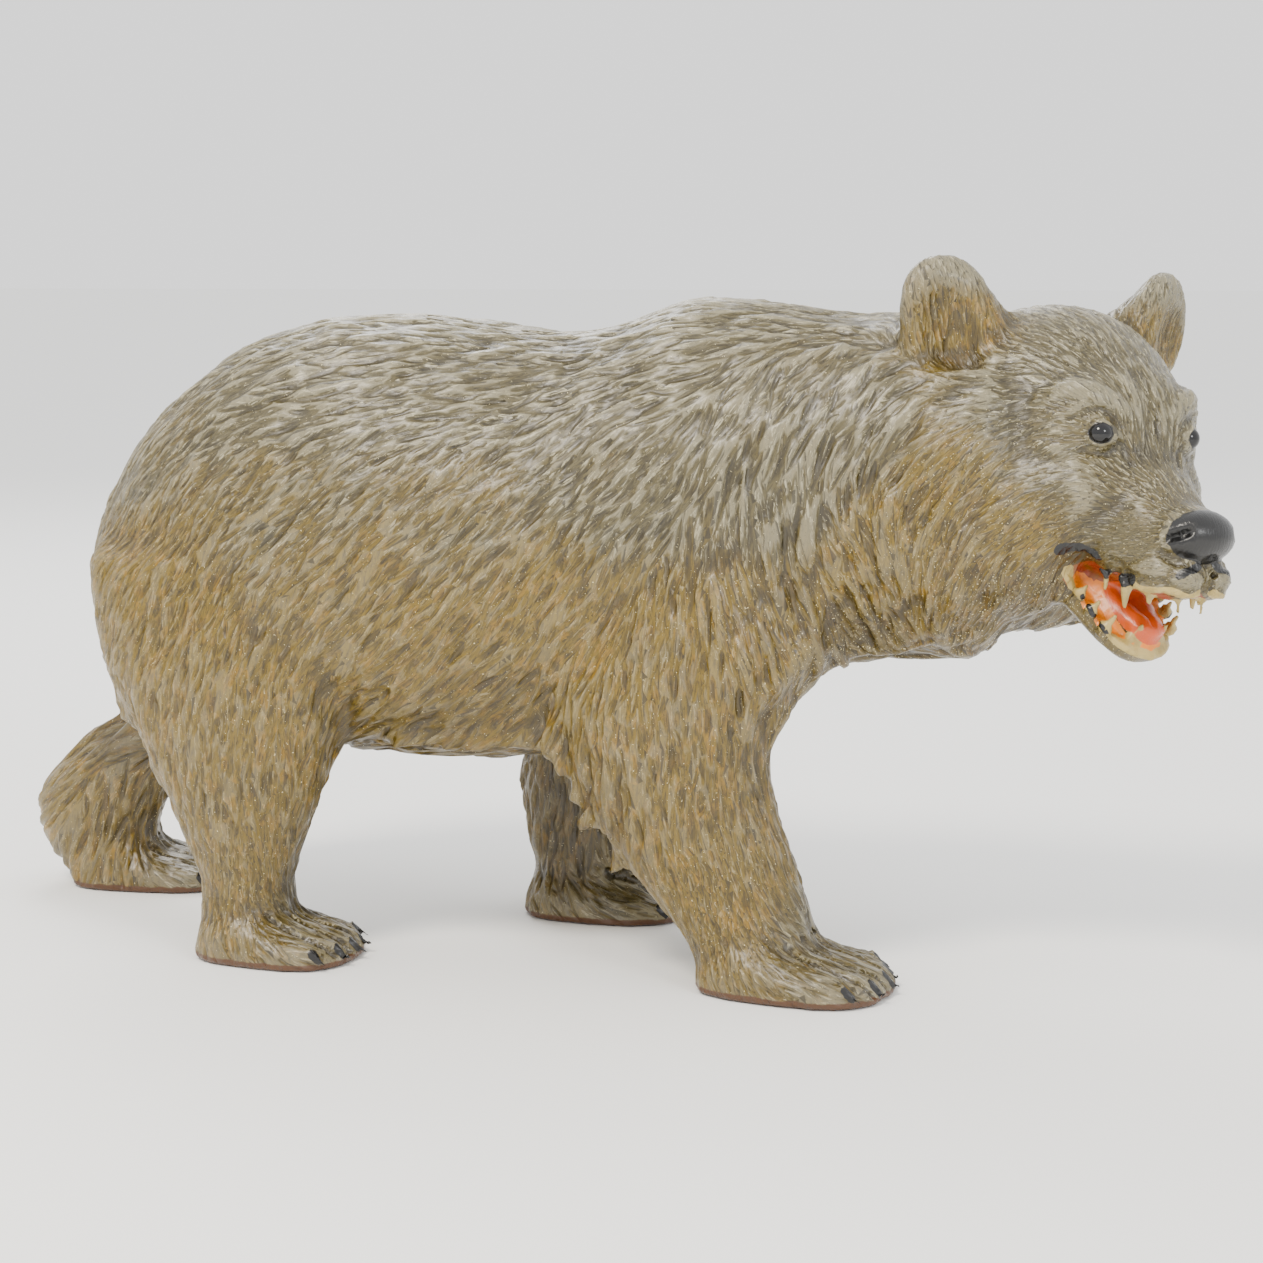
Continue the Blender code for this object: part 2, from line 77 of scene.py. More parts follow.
eyeAhead, eyeOut, eyeUp = landmarks["eye"]
eyeSpan = middleOf("eye_left") - middleOf("eye_right")
share = eyeSpan.length / (2 * eyeOut)
headSide = eyeSpan.normalized()
headAhead = headSide.cross(worldUp).normalized()
headUp = headAhead.cross(headSide)
headOrigin = ((middleOf("eye_left") + middleOf("eye_right")) / 2
              - headAhead * eyeAhead * share - headUp * eyeUp * share)
headFrame = Matrix.Translation(headOrigin) @ Matrix((headAhead, headSide, headUp)).transposed().to_4x4()
bodyFrame = Matrix.Translation(headOrigin - Vector(landmarks["headAt"]) * share)
jawFrame = (headFrame @ Matrix.Translation(Vector(landmarks["jawAt"]) * share)
            @ Matrix.Rotation(math.radians(landmarks["jawDrop"]), 4, "Y"))

# each paw by its sole's mount: length, half width and the degrees that it turns out
paws = {
    "right_hind_sole": (138, 56, -2),
    "left_hind_sole": (152, 56, 8),
    "right_fore_sole": (158, 64, -4),
    "left_fore_sole": (152, 66, 6),
}
soleAt = {mount["name"]: mount["pos_m"] for mount in frame["record"]["mounts"]}


def pawFrame(sole):
    length, half, turn = paws[sole]
    return (Matrix.Translation(soleAt[sole]) @ Matrix.Rotation(math.radians(turn), 4, "Z")
            @ Matrix.Translation((-length / 2 * share, 0, 0)))


def at(frameOf, x, y, z):
    return frameOf @ (Vector((x, y, z)) * share)


def mirrored(spot, side):
    return (spot[0], side * spot[1], spot[2])


def sidesOf(spots):
    # both sides of the head for what stands off its middle, one for what lies on it
    return (-1, 1) if any(spot[1] for spot in spots) else (1,)


# Camera, floor and light
view = {
    "lens": 76.1,                      # mm on a 36 mm sensor
    "place": (0.243, -0.952, 0.250),   # metres, in the body's frame
    "azimuth": 13.0,                   # degrees round from the bear's right side
    "down": 7.75,
}
studio = {
    "floor": "FAFAF8",
    "floorSize": 30,                   # metres
    "sky": "FFFFFF",
    "skyStrength": 1.5,
    # place, size, power in watts, and the tint of each soft box
    "boxes": {
        "key": ((-0.4, -1.0, 1.4), 0.5, 26, "FFF6E8"),
        "front": ((1.3, -1.2, 0.9), 0.5, 9, "FFFFFF"),
        "rim": ((-0.6, 1.2, 1.3), 0.8, 13, "FFFFFF"),
    },
}


def addCamera():
    camera = bpy.data.objects.new("camera", bpy.data.cameras.new("camera"))
    bpy.context.scene.collection.objects.link(camera)
    camera.data.lens = view["lens"]
    camera.data.sensor_width = 36
    camera.location = bodyFrame @ Vector(view["place"])
    camera.rotation_euler = (math.radians(90 - view["down"]), 0, math.radians(view["azimuth"]))
    bpy.context.scene.camera = camera


def linear(hexColour):
    channels = [int(hexColour[i:i + 2], 16) / 255 for i in (0, 2, 4)]
    return tuple(c / 12.92 if c <= 0.04045 else ((c + 0.055) / 1.055) ** 2.4 for c in channels) + (1.0,)


def addNode(nodes, kind, inputs, output=0, **settings):
    # one node with its settings; an input takes another node's output, a hex colour or a plain value
    node = nodes.new("ShaderNode" + kind)
    for name, value in settings.items():
        setattr(node, name, value)
    for name, source in inputs.items() if isinstance(inputs, dict) else enumerate(inputs):
        if isinstance(source, bpy.types.NodeSocket):
            nodes.id_data.links.new(source, node.inputs[name])
        else:
            node.inputs[name].default_value = linear(source) if isinstance(source, str) else source
    return node.outputs[output]


def newMaterial(name):
    material = bpy.data.materials.new(name)
    material.use_nodes = True
    nodes = material.node_tree.nodes
    return material, nodes, nodes["Principled BSDF"]


def meshObject(name, bm):
    mesh = bpy.data.meshes.new(name)
    bm.to_mesh(mesh)
    bm.free()
    obj = bpy.data.objects.new(name, mesh)
    bpy.context.scene.collection.objects.link(obj)
    return obj


def addFloor():
    bm = bmesh.new()
    bmesh.ops.create_grid(bm, x_segments=1, y_segments=1, size=studio["floorSize"])
    floor = meshObject("floor", bm)
    material, nodes, shader = newMaterial("matt white paper")
    shader.inputs["Base Color"].default_value = linear(studio["floor"])
    shader.inputs["Roughness"].default_value = 0.9
    shader.inputs["Specular IOR Level"].default_value = 0.0
    floor.data.materials.append(material)


def addLights():
    world = bpy.data.worlds.new("studio")
    bpy.context.scene.world = world
    world.use_nodes = True
    background = world.node_tree.nodes["Background"]
    background.inputs["Color"].default_value = linear(studio["sky"])
    background.inputs["Strength"].default_value = studio["skyStrength"]
    for name, (place, size, power, tint) in studio["boxes"].items():
        lamp = bpy.data.objects.new(name, bpy.data.lights.new(name, "AREA"))
        bpy.context.scene.collection.objects.link(lamp)
        lamp.data.shape = "DISK"
        lamp.data.size = size
        lamp.data.energy = power
        lamp.data.color = linear(tint)[:3]
        lamp.location = place
        lamp.rotation_euler = (Vector((0, 0, 0.12)) - lamp.location).to_track_quat("-Z", "Y").to_euler()


# Bear: the form, from the solid's rounded facets and the finer masses of the face and paws
formWork = {
    "roundedBy": 2,             # subdivisions that round the solid's facets
    "coarse": 1.2 * mm,         # grain while the facets are smoothed away
    "coarseRounds": 12,
    "paredRounds": 150,         # how often the tops of the thighs are smoothed
    "fine": 0.62 * mm,          # grain that the gouge cuts are made in
    "fineRounds": 2,
    "triangles": 196000,
    "headKept": 0.000002,       # how much the head's edges resist the thinning
}
# middle, radii, and turns in degrees about Z and Y, in the head's frame or the jaw's
headMasses = [
    ((168, 0, -69), (20, 30, 20), 0, 0),        # nose pad
    ((160, 20, -70), (15, 12, 14), 20, 0),      # wings of the nostrils
    ((165, 13, -100), (20, 17, 16), 0, 0),      # upper lip
    ((148, 25, -97), (25, 15, 17), -8, 0),      # whisker pads
    ((101, 44, 1), (8.6, 8.6, 8.6), 0, 0),      # wood behind each eye
]
jawMasses = [
    ((48, 0, 14), (36, 20, 9), 0, 0),           # tongue
    ((66, 0, 15), (18, 17, 9), 0, -12),         # its tip
]
# ahead, out, where its foot is, length and radius, in the head's frame and in the jaw's
teeth = {
    "upper": [(163, 11, -113, 15, 5.5), (147, 25, -113, 9, 5), (131, 34, -110, 16, 6),
              (115, 40, -105, 10, 5)],
    "lower": [(77, 12, 9, 16, 5), (66, 31, 9, 14, 5.4), (50, 36, 11, 10, 4.8), (34, 39, 12, 9, 4.6)],
    "sides": 14,
    "tip": 0.25,                # share of its radius that is left at a tip
    "sunk": 0.6,                # share of its length that is sunk in the gum
}
lids = {
    "radius": 10.5,             # shares, over the glass
    "above": 60,                # degrees above the level of its gaze where the upper lid's edge is
    "below": 56,
}
toes = {
    "count": 5,
    "reach": 0.80,              # share of the paw's length that the middle toe lies at
    "curve": 0.028,
    "spread": 0.38,             # share of the paw's half width between neighbours
    "fan": 6.5,                 # degrees
    "height": 11,
    "clawAt": (22, 0, 3),       # ahead, out, up in the toe's frame
    "clawDrop": 34,
    "clawLength": 13,
    "clawRadius": 4.0,
}


def turnedFrame(frameOf, spot, turnZ=0, turnY=0):
    return (frameOf @ Matrix.Translation(Vector(spot) * share)
            @ Matrix.Rotation(math.radians(turnZ), 4, "Z") @ Matrix.Rotation(math.radians(turnY), 4, "Y"))


def addBall(bm, frameOf, centre, radii, turnZ, turnY):
    for side in sidesOf([centre]):
        size = Matrix.Diagonal((*(Vector(radii) * share), 1))
        place = turnedFrame(frameOf, mirrored(centre, side), side * turnZ, turnY) @ size
        bmesh.ops.create_uvsphere(bm, u_segments=40, v_segments=24, radius=1, matrix=place)


def addHorn(bm, frameOf, length, radius):
    # a tooth or claw along its frame's X, its foot sunk behind the frame's origin
    sunk = teeth["sunk"]
    place = (frameOf @ Matrix.Translation((length * (1 - sunk) / 2 * share, 0, 0))
             @ Matrix.Rotation(math.radians(90), 4, "Y"))
    bmesh.ops.create_cone(bm, cap_ends=True, segments=teeth["sides"], radius1=radius * share,
                          radius2=radius * share * teeth["tip"], depth=length * (1 + sunk) * share,
                          matrix=place)


def addLids(bm):
    for side in (-1, 1):
        gaze = turnedFrame(headFrame, mirrored(landmarks["eye"], side), side * landmarks["eyeSlant"])
        for tilt, way in ((lids["above"], 1), (-lids["below"], -1)):
            cap = bmesh.new()
            bmesh.ops.create_uvsphere(cap, u_segments=40, v_segments=24, radius=lids["radius"] * share)
            # keeps what lies above the upper edge, or below the lower one
            edge = Vector((-math.sin(math.radians(tilt)), 0, math.cos(math.radians(tilt)))) * way
            cut = bmesh.ops.bisect_plane(cap, geom=cap.verts[:] + cap.edges[:] + cap.faces[:],
                                         plane_co=(0, 0, 0), plane_no=edge, clear_inner=True)
            rim = [e for e in cut["geom_cut"] if isinstance(e, bmesh.types.BMEdge)]
            bmesh.ops.holes_fill(cap, edges=rim)
            cap.transform(gaze)
            mesh = bpy.data.meshes.new("lid")
            cap.to_mesh(mesh)
            cap.free()
            bm.from_mesh(mesh)
            bpy.data.meshes.remove(mesh)


def toeFrames(sole):
    length, half, turn = paws[sole]
    for i in range(toes["count"]):
        step = i - (toes["count"] - 1) / 2
        reach = (toes["reach"] - toes["curve"] * step * step) * length
        yield turnedFrame(pawFrame(sole), (reach, half * toes["spread"] * step, toes["height"]),
                          toes["fan"] * step)


def clawFrames():
    for sole in paws:
        for toe in toeFrames(sole):
            yield turnedFrame(toe, toes["clawAt"], 0, toes["clawDrop"])


def addFineMasses(form):
    bm = bmesh.new()
    for mass in headMasses:
        addBall(bm, headFrame, *mass)
    for mass in jawMasses:
        addBall(bm, jawFrame, *mass)
    for frameOf, turn, row in ((headFrame, 90, teeth["upper"]), (jawFrame, -90, teeth["lower"])):
        for ahead, out, up, length, radius in row:
            for side in (-1, 1):
                addHorn(bm, turnedFrame(frameOf, (ahead, side * out, up), 0, turn), length, radius)
    for claw in clawFrames():
        addHorn(bm, claw, toes["clawLength"], toes["clawRadius"])
    addLids(bm)
    bm.from_mesh(form.data)
    bm.to_mesh(form.data)
    bm.free()


def applied(obj):
    # the same object with its modifiers worked into its mesh
    graph = bpy.context.evaluated_depsgraph_get()
    mesh = bpy.data.meshes.new_from_object(obj.evaluated_get(graph))
    obj.modifiers.clear()
    old = obj.data
    obj.data = mesh
    bpy.data.meshes.remove(old)
    return obj


def remesh(obj, grain, rounds):
    voxels = obj.modifiers.new("grain", "REMESH")
    voxels.mode = "VOXEL"
    voxels.voxel_size = grain
    smooth = obj.modifiers.new("smooth", "SMOOTH")
    smooth.factor = 0.5
    smooth.iterations = rounds
    return applied(obj)


def roundedForm():
    bm = bmesh.new()
    bm.from_mesh(frame["nodes"]["bear"].data)
    bmesh.ops.remove_doubles(bm, verts=bm.verts, dist=0.01 * mm)
    form = meshObject("carved_bear", bm)
    rounding = form.modifiers.new("round", "SUBSURF")
    rounding.levels = formWork["roundedBy"]
    rounding.render_levels = formWork["roundedBy"]
    return remesh(applied(form), formWork["coarse"], formWork["coarseRounds"])


# where the top of each thigh is pared down into the rump: middle and radius, in the body's frame
paredPlaces = [((-345, -80, 335), 100)]


def pareForm(form):
    local = inFrame(verticesOf(form.data, "co"), bodyFrame)
    gap = np.full(len(local), np.inf)
    for centre, radius in paredPlaces:
        for side in sidesOf([centre]):
            gap = np.minimum(gap, np.linalg.norm(local - np.array(mirrored(centre, side)), axis=1) / radius)
    pared = form.vertex_groups.new(name="pared")
    for step in range(1, 5):
        pared.add(np.nonzero(gap < 1.15 - 0.15 * step)[0].tolist(), step / 4, "REPLACE")
    smooth = form.modifiers.new("pare", "SMOOTH")
    smooth.factor = 0.5
    smooth.iterations = formWork["paredRounds"]
    smooth.vertex_group = "pared"
    applied(form)
    form.vertex_groups.clear()


# places worked twice as finely: middle and radius, in the head's frame
finePlaces = [((140, 0, -100), 60), ((101, 44, 1), 20)]


def refineFace(form):
    points = verticesOf(form.data, "co")
    local = inFrame(points, headFrame)
    fine = np.zeros(len(points), bool)
    for centre, radius in finePlaces:
        for side in sidesOf([centre]):
            fine |= np.linalg.norm(local - np.array(mirrored(centre, side)), axis=1) < radius
    bm = bmesh.new()
    bm.from_mesh(form.data)
    bm.verts.index_update()
    edges = [e for e in bm.edges if fine[e.verts[0].index] and fine[e.verts[1].index]]
    bmesh.ops.subdivide_edges(bm, edges=edges, cuts=1, use_grid_fill=True)
    bm.to_mesh(form.data)
    bm.free()


def verticesOf(mesh, what):
    values = np.empty(len(mesh.vertices) * 3, np.float32)
    if what == "co":
        mesh.vertices.foreach_get("co", values)
    else:
        mesh.vertex_normals.foreach_get("vector", values)
    return values.reshape(-1, 3).astype(np.float64)


def inFrame(points, frameOf):
    # points in a frame of the bear's, in shares
    return (points - np.array(frameOf.translation)) @ np.array(frameOf.to_3x3()) / share


def treeOf(points):
    tree = KDTree(len(points))
    for i, point in enumerate(points):
        tree.insert(point, i)
    tree.balance()
    return tree


def moveVertices(mesh, points):
    points[:, 2] = np.maximum(points[:, 2], 0)
    mesh.vertices.foreach_set("co", points.astype(np.float32).ravel())
    mesh.update()


def curveThrough(spots, steps=10):
    # a smooth run of points through the spots
    spots = [np.array(spot, float) for spot in spots]
    run = []
    for i in range(len(spots) - 1):
        a, b, c, d = spots[max(i - 1, 0)], spots[i], spots[i + 1], spots[min(i + 2, len(spots) - 1)]
        for k in range(steps):
            t = k / steps
            run.append(b + 0.5 * t * (c - a + t * (2 * a - 5 * b + 4 * c - d + t * (3 * (b - c) + d - a))))
    return run + [spots[-1]]


# Bear: chisel work along lines laid on the surface: the frame, how far it reaches to each side
# and how far it lifts the wood, below 0 for a groove, then the line's points
chisel = {
    "nostril": ("head", 5.5, -6.5, [(180, 24, -65), (175, 28, -68), (166, 31, -72)]),
    "under the nose pad": ("head", 5, -2.5, [(187, 0, -91), (182, 14, -89), (172, 26, -86),
                                             (160, 31, -82)]),
    "philtrum": ("head", 3.5, -3.0, [(188, 0, -90), (187, 0, -100), (184, 0, -112)]),
    "upper lip rim": ("head", 5, 2.2, [(184, 4, -114), (173, 26, -112), (157, 36, -113), (138, 41, -109),
                                       (124, 46, -104), (110, 51, -99), (100, 56, -96)]),
    "above the lip": ("head", 5, -1.6, [(168, 33, -104), (155, 40, -103), (138, 44, -100), (120, 50, -94)]),
    "palate": ("head", 20, -9, [(100, 0, -112), (125, 0, -118), (155, 0, -120)]),
    "gum beside the tongue": ("jaw", 9, -5, [(20, 31, 14), (50, 29, 13), (72, 22, 11)]),
    "jaw rim": ("jaw", 5, 3.2, [(6, 46, 8), (30, 44, 12), (50, 40, 11), (68, 34, 10), (82, 25, 8),
                                (91, 10, 6), (92, 0, 6)]),
    "tongue's furrow": ("jaw", 4, -2.2, [(30, 0, 24), (55, 0, 25), (76, 0, 24)]),
    "lid fold above": ("head", 4.5, -2.0, [(112, 33, 8), (107, 42, 16), (96, 52, 17), (84, 60, 9)]),
    "lid fold below": ("head", 4.5, -1.6, [(112, 34, -8), (106, 44, -14), (94, 54, -12)]),
    "tear corner": ("head", 4, -2.0, [(112, 33, -4), (117, 29, -9), (121, 26, -15)]),
    "brow": ("head", 12, 3.0, [(110, 26, 22), (98, 42, 30), (80, 58, 30), (62, 70, 22)]),
    "stop between the brows": ("head", 12, -3.0, [(126, 0, 8), (112, 0, 30), (92, 0, 52)]),
    "cheek": ("head", 22, 3.0, [(70, 74, -40), (50, 84, -64), (30, 92, -90)]),
    "muzzle side": ("head", 14, -2.5, [(128, 46, -50), (112, 56, -66), (98, 64, -80)]),
}
# spots between two toes: share of the paw's length, share of how far out their gap lies, and height
toeGroove = {"reach": 4.5, "lift": -5.0, "spots": [(0.50, 0.85, 40), (0.75, 1.0, 30), (1.0, 1.08, 12)]}


def chiselLines():
    frames = {"head": headFrame, "jaw": jawFrame}
    for frameName, reach, lift, line in chisel.values():
        for side in sidesOf(line):
            yield frames[frameName], reach, lift, [mirrored(spot, side) for spot in line]
    for sole, (length, half, turn) in paws.items():
        for i in range(toes["count"] - 1):
            step = i - (toes["count"] - 2) / 2
            out = half * toes["spread"] * step
            line = [(length * along, out * across, up) for along, across, up in toeGroove["spots"]]
            yield pawFrame(sole), toeGroove["reach"], toeGroove["lift"], line


def chiselForm(form):
    points = verticesOf(form.data, "co")
    normals = verticesOf(form.data, "normal")
    tree = treeOf(points)
    moved = points.copy()
    for frameOf, reach, lift, line in chiselLines():
        gap = {}
        for spot in curveThrough(line):
            onSkin = tree.find(at(frameOf, *spot))[0]
            for co, i, distance in tree.find_range(onSkin, reach * share):
                gap[i] = min(distance, gap.get(i, distance))
        near = np.array(list(gap))
        fall = (1 - (np.array(list(gap.values())) / (reach * share)) ** 2) ** 2
        moved[near] += normals[near] * (lift * share * fall)[:, None]
    moveVertices(form.data, moved)


# Bear: the gouge work
# half length, half width and depth of the cuts in mm, and 1 where they leave round locks standing
gouges = {
    "flake": (5.6, 1.25, 0.75, 0),
    "long flake": (8.0, 1.5, 0.9, 0),
    "fine": (3.8, 0.85, 0.42, 0),
    "tiny": (2.6, 0.65, 0.26, 0),
    "shag": (9.0, 1.7, 1.1, 0),
    "hock": (13.0, 1.8, 1.2, 0),
    "finger": (15.0, 2.5, 2.0, 1),
    "short finger": (10.0, 2.0, 1.5, 1),
    "paw": (6.5, 1.1, 0.55, 0),
}
# how much silver, ochre, dark stain and gold glitter the varnished wood shows, the gold painted pale as
# glints
zones = {
    "back": (1.0, 0.1, 0.1, 0.1),
    "rump": (0.6, 0.6, 0.1, 0.1),
    "shoulder": (0.75, 0.45, 0.0, 0.15),
    "flank": (0.45, 0.75, 0.0, 0.2),
    "lower flank": (0.15, 0.85, 0.15, 0.2),
    "belly": (0.0, 0.65, 0.5, 0.3),
    "thigh": (0.1, 0.75, 0.15, 0.2),
    "leg": (0.15, 0.65, 0.1, 0.35),
    "inside": (0.05, 0.4, 0.7, 0.1),
    "paw": (0.55, 0.3, 0.1, 0.1),
    "neck": (0.75, 0.4, 0.0, 0.1),
    "ruff": (0.15, 0.9, 0.3, 0.6),
    "throat": (0.0, 0.6, 0.75, 1.0),
    "crown": (0.85, 0.35, 0.0, 0.1),
    "muzzle": (0.7, 0.5, 0.0, 0.1),
    "cheek": (0.15, 0.9, 0.1, 0.6),
    "hollow": (-0.3, 1.0, 0.0, 0.2),
}
# a place on the body, the way its hair is combed, the gouge and the zone
bodyCoat = [
    ((-300, 0, 486), (-1, 0, -0.15), "long flake", "back"),
    ((-120, 0, 522), (-1, 0, 0), "long flake", "back"),
    ((30, 0, 512), (-1, 0, 0), "long flake", "back"),
    ((140, 0, 534), (-1, 0, 0), "long flake", "back"),
    ((260, 0, 522), (-1, 0, 0), "long flake", "back"),
    ((-390, 0, 380), (-0.5, 0, -0.85), "long flake", "rump"),
    ((-410, 0, 280), (-0.2, 0, -1), "shag", "thigh"),
    ((-340, 90, 400), (-0.75, 0, -0.65), "flake", "rump"),
    ((-330, 120, 320), (-0.45, 0, -0.9), "flake", "thigh"),
    ((-200, 130, 460), (-0.95, 0, -0.3), "long flake", "back"),
    ((-60, 130, 460), (-0.95, 0, -0.3), "long flake", "back"),
    ((90, 120, 480), (-0.95, 0, -0.3), "long flake", "back"),
    ((-200, 150, 380), (-0.75, 0, -0.65), "flake", "flank"),
    ((-60, 150, 380), (-0.75, 0, -0.65), "flake", "flank"),
    ((70, 140, 400), (-0.7, 0, -0.7), "flake", "shoulder"),
    ((-120, 150, 280), (-0.65, 0, -0.75), "flake", "lower flank"),
    ((30, 146, 290), (-0.55, 0, -0.85), "flake", "lower flank"),
    ((-60, 110, 190), (-0.7, 0, -0.7), "shag", "belly"),
    ((-80, 0, 152), (-1, 0, -0.1), "shag", "belly"),
    ((-280, 150, 260), (-0.3, 0, -0.95), "flake", "thigh"),
    ((-250, 150, 180), (-0.1, 0, -1), "flake", "thigh"),
    ((110, 160, 260), (-0.1, 0, -1), "flake", "lower flank"),
    ((160, 134, 430), (-0.45, 0, -0.9), "long flake", "neck"),
    ((205, 130, 370), (0.05, 0, -1), "finger", "neck"),
    ((190, 130, 290), (0.3, 0, -0.95), "finger", "ruff"),
    ((250, 125, 330), (0.4, 0, -0.9), "finger", "ruff"),
    ((250, 110, 260), (0.5, 0, -0.85), "finger", "throat"),
    ((290, 0, 250), (0.6, 0, -0.3), "finger", "throat"),
    ((170, 0, 225), (-0.5, 0, -0.85), "finger", "throat"),
    ((250, 110, 450), (-0.5, 0, -0.85), "long flake", "neck"),
]
rightCoat = [
    ((-240, -150, 70), (0.1, 0, -1), "fine", "leg"),
    ((-255, -150, 130), (0.0, 0, -1), "flake", "leg"),
    ((-240, -60, 110), (0.0, 0, -1), "shag", "inside"),
    ((110, -160, 180), (0.05, 0, -1), "flake", "leg"),
    ((150, -160, 80), (0.3, 0, -0.95), "fine", "leg"),
    ((60, -120, 130), (-0.2, 0, -1), "shag", "belly"),
    ((200, -80, 130), (0.2, 0, -1), "flake", "leg"),
    ((-190, -106, 30), (1, 0, -0.25), "paw", "paw"),
    ((240, -110, 34), (1, -0.1, -0.3), "paw", "paw"),
]
leftCoat = [
    ((-400, 150, 180), (-0.8, 0, -0.6), "hock", "thigh"),
    ((-440, 60, 150), (-0.9, 0, -0.4), "hock", "inside"),
    ((-500, 108, 90), (-0.8, 0, -0.6), "hock", "thigh"),
    ((-440, 70, 60), (-0.2, 0, -1), "shag", "leg"),
    ((40, 150, 200), (-0.1, 0, -1), "flake", "leg"),
    ((0, 60, 100), (-0.1, 0, -1), "shag", "inside"),
    ((0, 150, 90), (0, 0, -1), "fine", "leg"),
    ((-380, 108, 30), (1, 0.1, -0.25), "paw", "paw"),
    ((40, 96, 34), (1, 0.1, -0.25), "paw", "paw"),
]
headCoat = [
    ((160, 0, -40), (-0.7, 0, 0.7), "tiny", "muzzle"),
    ((110, 0, 0), (-0.7, 0, 0.7), "fine", "muzzle"),
    ((80, 0, 60), (-0.6, 0, 0.8), "fine", "crown"),
    ((30, 0, 98), (-1, 0, 0.2), "fine", "crown"),
    ((-40, 0, 98), (-1, 0, 0), "flake", "crown"),
    ((60, 50, 50), (-0.7, 0.5, 0.5), "fine", "crown"),
    ((30, 85, 30), (-0.8, 0.4, -0.3), "fine", "crown"),
    ((110, 40, -30), (-0.8, 0.3, 0.3), "tiny", "muzzle"),
    ((140, 42, -70), (-0.9, 0.3, -0.2), "tiny", "muzzle"),
    ((80, 70, -30), (-0.8, 0.3, -0.4), "fine", "muzzle"),
    ((60, 82, -70), (-0.7, 0.3, -0.6), "fine", "cheek"),
    ((20, 105, -40), (-0.6, 0.2, -0.75), "fine", "cheek"),
    ((0, 104, -90), (-0.3, 0.0, -0.95), "short finger", "cheek"),
    ((50, 70, -130), (-0.4, 0.0, -0.9), "short finger", "throat"),
    ((-34, 100, 90), (-0.3, 0.2, 1), "fine", "crown"),
    ((4, 104, 78), (0, 0.2, 1), "fine", "hollow"),
    ((0, 96, 124), (0, 0.3, 1), "tiny", "crown"),
    ((110, 30, -160), (-0.8, 0, -0.5), "fine", "throat"),
    ((40, 0, -150), (-0.9, 0, -0.4), "shag", "throat"),
]
carving = {
    # how much longer, wider and deeper each round's cuts are, and how many it makes
    "rounds": ((2.0, 1.9, 0.75, 5000), (1.0, 1.0, 1.0, 22000)),
    # the sizes of both rounds' cuts where the coat hangs in round locks
    "lockRound": (np.array((0.5, 0.55, 1.3)), np.array((0.42, 0.42, 0.22))),
    "lockMore": (1.0, 4.5),     # how much closer together each round's cuts are there
    "seed": 7,
    "spread": 0.35,             # share that the cuts' sizes vary by
    "stray": 0.13,              # radians that a cut strays from the combing
    "skew": 0.45,               # how much deeper a cut is along one side
    "blend": 24,                # shares over which the coat's rows blend
    "blendPower": 2.5,          # how quickly a row's part in the blend falls with distance
    "smoothEdge": 5,            # how sharply the cuts begin round a place that is left smooth
    "levelSole": 1.0,           # mm above the ground that is left flat
    "facing": 0.2,              # least cosine between a cut's face and the wood that it takes away
    "markFacing": 0.1,          # the same for the triangles that it marks
    "markReach": 1.1,           # how far it marks them, in its half lengths
    "hairShift": (97, 31),      # most mm that its hairs are shifted along and across it
}
# no gouge goes on the nose, the eyes or in the mouth: middle and radii in the head's frame
smoothPlaces = [
    ((170, 0, -69), (24, 35, 25)),
    ((101, 44, 1), (13, 13, 13)),
    ((118, 0, -134), (68, 46, 34)),
]


def coatRows():
    rows = []
    for coat, frameOf, sides in ((bodyCoat, bodyFrame, None), (headCoat, headFrame, None),
                                 (rightCoat, bodyFrame, (1,)), (leftCoat, bodyFrame, (1,))):
        turn = frameOf.to_3x3()
        for place, way, gouge, zone in coat:
            for side in sides or sidesOf([place]):
                spot = at(frameOf, *mirrored(place, side))
                combed = turn @ Vector(mirrored(way, side)).normalized()
                rows.append((np.array(spot), np.array(combed), np.array(gouges[gouge] + zones[zone])))
    return rows


def blendedCoat(points, normals):
    # the way the coat is combed at every point, and the values of its gouge and zone
    total = np.zeros(len(points))
    ways = np.zeros((len(points), 3))
    values = np.zeros((len(points), 8))
    for place, way, row in coatRows():
        apart = points - place
        near = np.einsum("ij,ij->i", apart, apart) + (carving["blend"] * share) ** 2
        weight = 1 / near ** carving["blendPower"]
        total += weight
        ways += weight[:, None] * way
        values += weight[:, None] * row
    ways -= normals * np.einsum("ij,ij->i", ways, normals)[:, None]
    ways /= np.linalg.norm(ways, axis=1)[:, None] + 1e-12
    return ways, values / total[:, None]


def keepSmooth(points):
    # 0 where no gouge goes, 1 on the coat
    keep = np.clip(points[:, 2] / mm - carving["levelSole"], 0, 1)
    local = inFrame(points, headFrame)
    for centre, radii in smoothPlaces:
        for side in sidesOf([centre]):
            gap = np.linalg.norm((local - np.array(mirrored(centre, side))) / np.array(radii), axis=1)
            keep *= np.clip((gap - 1) * carving["smoothEdge"], 0, 1)
    return keep


def scoopOf(cut, apart):
    # how deep a cut is, or how high a lock, at each offset from its middle
    along = apart @ cut["way"] / cut["halfLong"]
    across = apart @ cut["across"] / cut["halfWide"]
    if cut["lock"]:
        return cut["deep"] * np.sqrt(np.clip(1 - across ** 2, 0, 1)) * (1 - along ** 2)
    return cut["deep"] * (1 - across ** 2 - along ** 2) * (1 + carving["skew"] * np.clip(across, -1, 1))


